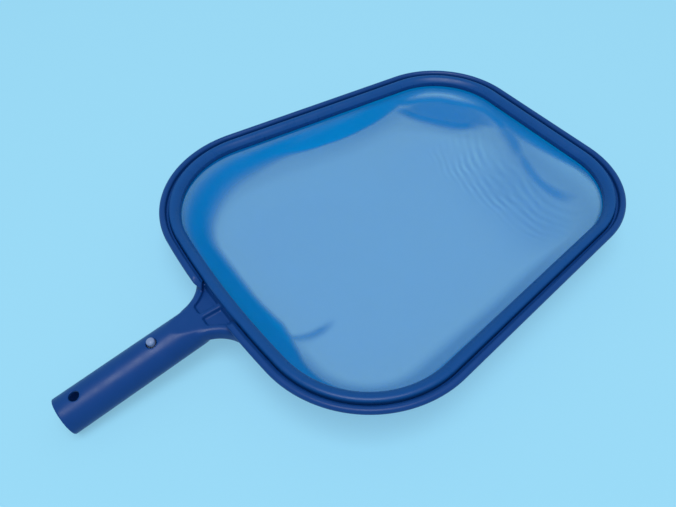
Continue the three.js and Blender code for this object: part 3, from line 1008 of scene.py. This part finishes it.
def clip_arm_piece(name, body, node, flip):
    """A sprung arm along the bore's wall, with its free tip turned in."""
    half = CLIP_THICKNESS / 2
    outline = np.array(
        [
            (ARM_ROOT - GAP, ARM_HEIGHT + half),
            (ARM_TIP + 3, ARM_HEIGHT + half),
            (ARM_TIP, ARM_HEIGHT - 1.2 + half),
            (ARM_TIP, ARM_HEIGHT - 1.2 - half),
            (ARM_TIP + 3, ARM_HEIGHT - half),
            (ARM_ROOT - GAP, ARM_HEIGHT - half),
        ]
    )
    return strip_piece(name, outline, body, node, flip)


def button_piece(name, body, node, flip):
    """A snap button: a round post with an eased foot and a domed head."""
    base = ARM_HEIGHT + CLIP_THICKNESS / 2 + GAP
    profile = [(base, BUTTON_RADIUS - 0.3), (base + 0.3, BUTTON_RADIUS), (BUTTON_SHOULDER, BUTTON_RADIUS)]
    for i in range(1, 12):
        angle = i / 12 * math.pi / 2
        rise = (BUTTON_TOP - BUTTON_SHOULDER) * math.sin(angle)
        profile.append((BUTTON_SHOULDER + rise, BUTTON_RADIUS * math.cos(angle)))
    rings = []
    for height, radius in profile:
        circle = arc_points((BUTTON_AT, 0), radius, 0, 2 * math.pi, 48)[:-1]
        rings.append(on_tube(level(circle, flip * height)))
    button = lofted(name, rings)
    button.data.materials.append(BUTTON_PLASTIC)
    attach(button, body)
    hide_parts(node)
    return button


# ---- Camera, lights and floor ---------------------------------------------------------

CAMERA_AT = (-194.456, -269.678, 414.381)  # millimetres in the row frame
CAMERA_AZIMUTH = math.radians(-35.839)
CAMERA_ELEVATION = math.radians(49.776)
CAMERA_ROLL = math.radians(-0.88)
CAMERA_LENS = 34.447  # on a sensor 36 wide


def make_camera():
    """The camera at the photographed angle."""
    data = bpy.data.cameras.new("camera")
    data.lens = CAMERA_LENS
    data.sensor_width = 36
    data.clip_start = 0.01
    camera = bpy.data.objects.new("camera", data)
    bpy.context.scene.collection.objects.link(camera)
    back = Vector(
        (
            math.sin(CAMERA_AZIMUTH) * math.cos(CAMERA_ELEVATION),
            -math.cos(CAMERA_AZIMUTH) * math.cos(CAMERA_ELEVATION),
            math.sin(CAMERA_ELEVATION),
        )
    )
    right = (-back).cross(Vector((0, 0, 1))).normalized()
    up = right.cross(-back)
    side = math.cos(CAMERA_ROLL) * right + math.sin(CAMERA_ROLL) * up
    top = -math.sin(CAMERA_ROLL) * right + math.cos(CAMERA_ROLL) * up
    turned = Matrix((side, top, back)).transposed().to_4x4()
    camera.matrix_world = Matrix.Translation(Vector(CAMERA_AT) * MM) @ turned
    bpy.context.scene.camera = camera


def area_light(name, at, towards, size, power):
    """A soft rectangular lamp."""
    data = bpy.data.lights.new(name, "AREA")
    data.shape = "RECTANGLE"
    data.size, data.size_y = size
    data.energy = power
    lamp = bpy.data.objects.new(name, data)
    bpy.context.scene.collection.objects.link(lamp)
    lamp.location = at
    lamp.rotation_euler = (Vector(towards) - Vector(at)).to_track_quat("-Z", "Y").to_euler()


def make_world(colour):
    """Even soft light, and the plain background colour wherever it is seen."""
    world = bpy.data.worlds.new("world")
    bpy.context.scene.world = world
    world.use_nodes = True
    nodes = world.node_tree.nodes
    links = world.node_tree.links
    nodes.clear()
    output = nodes.new("ShaderNodeOutputWorld")
    light = nodes.new("ShaderNodeBackground")
    light.inputs["Color"].default_value = (1, 1, 1, 1)
    light.inputs["Strength"].default_value = 0.42
    seen = nodes.new("ShaderNodeBackground")
    seen.inputs["Color"].default_value = (*colour, 1)
    shown = seen_plainly(nodes, links)
    sky = mixed_shaders(nodes, links, shown, light.outputs["Background"], seen.outputs["Background"])
    links.new(sky, output.inputs["Surface"])


def make_floor():
    """The plain pale floor that the net lies on."""
    half = 6.0
    corners = [(-half, -half, 0), (half, -half, 0), (half, half, 0), (-half, half, 0)]
    data = bpy.data.meshes.new("floor")
    data.from_pydata(corners, [], [(0, 1, 2, 3)])
    floor = bpy.data.objects.new("floor", data)
    bpy.context.scene.collection.objects.link(floor)
    floor.data.materials.append(floor_material("pale_floor", PALE_BLUE))


# ---- Assembly -------------------------------------------------------------------------

bpy.context.scene.view_settings.view_transform = "Standard"
FRAME_PLASTIC = moulded_plastic("frame_plastic", (0.003, 0.040, 0.19), (0.005, 0.049, 0.22), 0.34)
RING_PLASTIC = moulded_plastic("ring_plastic", (0.002, 0.054, 0.225), (0.004, 0.063, 0.255), 0.30)
BUTTON_PLASTIC = moulded_plastic("button_plastic", (0.14, 0.22, 0.42), (0.21, 0.29, 0.50), 0.26)
STEEL = brushed_steel("spring_steel")
CORD_FIBRE = cord_material("cord_fibre")
NET_WEAVE = net_material("net_weave")

make_camera()
make_world(PALE_BLUE)
make_floor()
area_light("key", (-0.5, -0.6, 3.1), (0, 0, 0), (1.8, 1.8), 72)

frame_piece()
ring_piece()
hem = hem_cord_piece()
net = net_piece()
clip_bend_piece()
clip_arm_piece("clip_spring_arm_upper", "upper_catch", "clip_arm_upper", 1)
clip_arm_piece("clip_spring_arm_lower", "lower_catch", "clip_arm_lower", -1)
button_piece("snap_button_upper", "upper_catch", "button_upper", 1)
button_piece("snap_button_lower", "lower_catch", "button_lower", -1)
